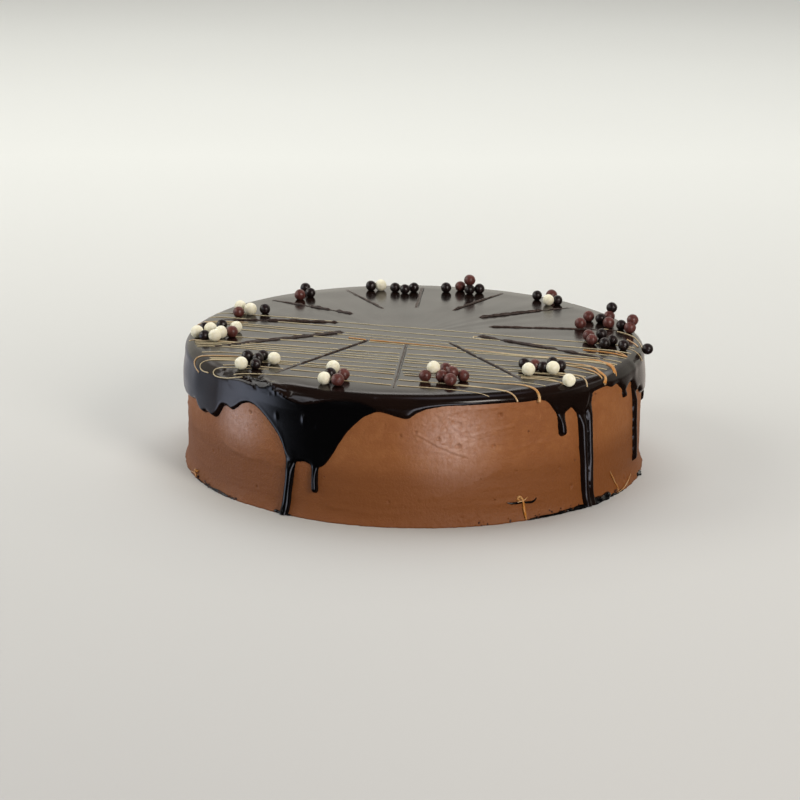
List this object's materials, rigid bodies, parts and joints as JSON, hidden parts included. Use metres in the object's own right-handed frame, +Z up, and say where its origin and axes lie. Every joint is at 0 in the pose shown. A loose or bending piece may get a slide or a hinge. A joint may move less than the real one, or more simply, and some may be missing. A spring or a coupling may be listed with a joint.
{
  "type": "chocolate cream cake",
  "caption": "Round uncut cake in smooth chocolate cream, under a dark poured glaze with drips, score marks, fine drizzle and clusters of small chocolate pearls.",
  "frame": {"origin": "centre of the flat base", "axes": "+Z up, -Y towards the side with the widest run of glaze"},
  "size_m": [0.241, 0.24, 0.0753],
  "materials": {
    "cream": "milk chocolate cream smoothed with a palette knife, satin",
    "ganache": "dark chocolate ganache, glossy; its pearls are ivory, milk and dark chocolate, its drizzle is caramel coloured"
  },
  "bodies": {
    "root": {"cream_cake": "cream", "glaze": "ganache"}
  },
  "joints": []
}
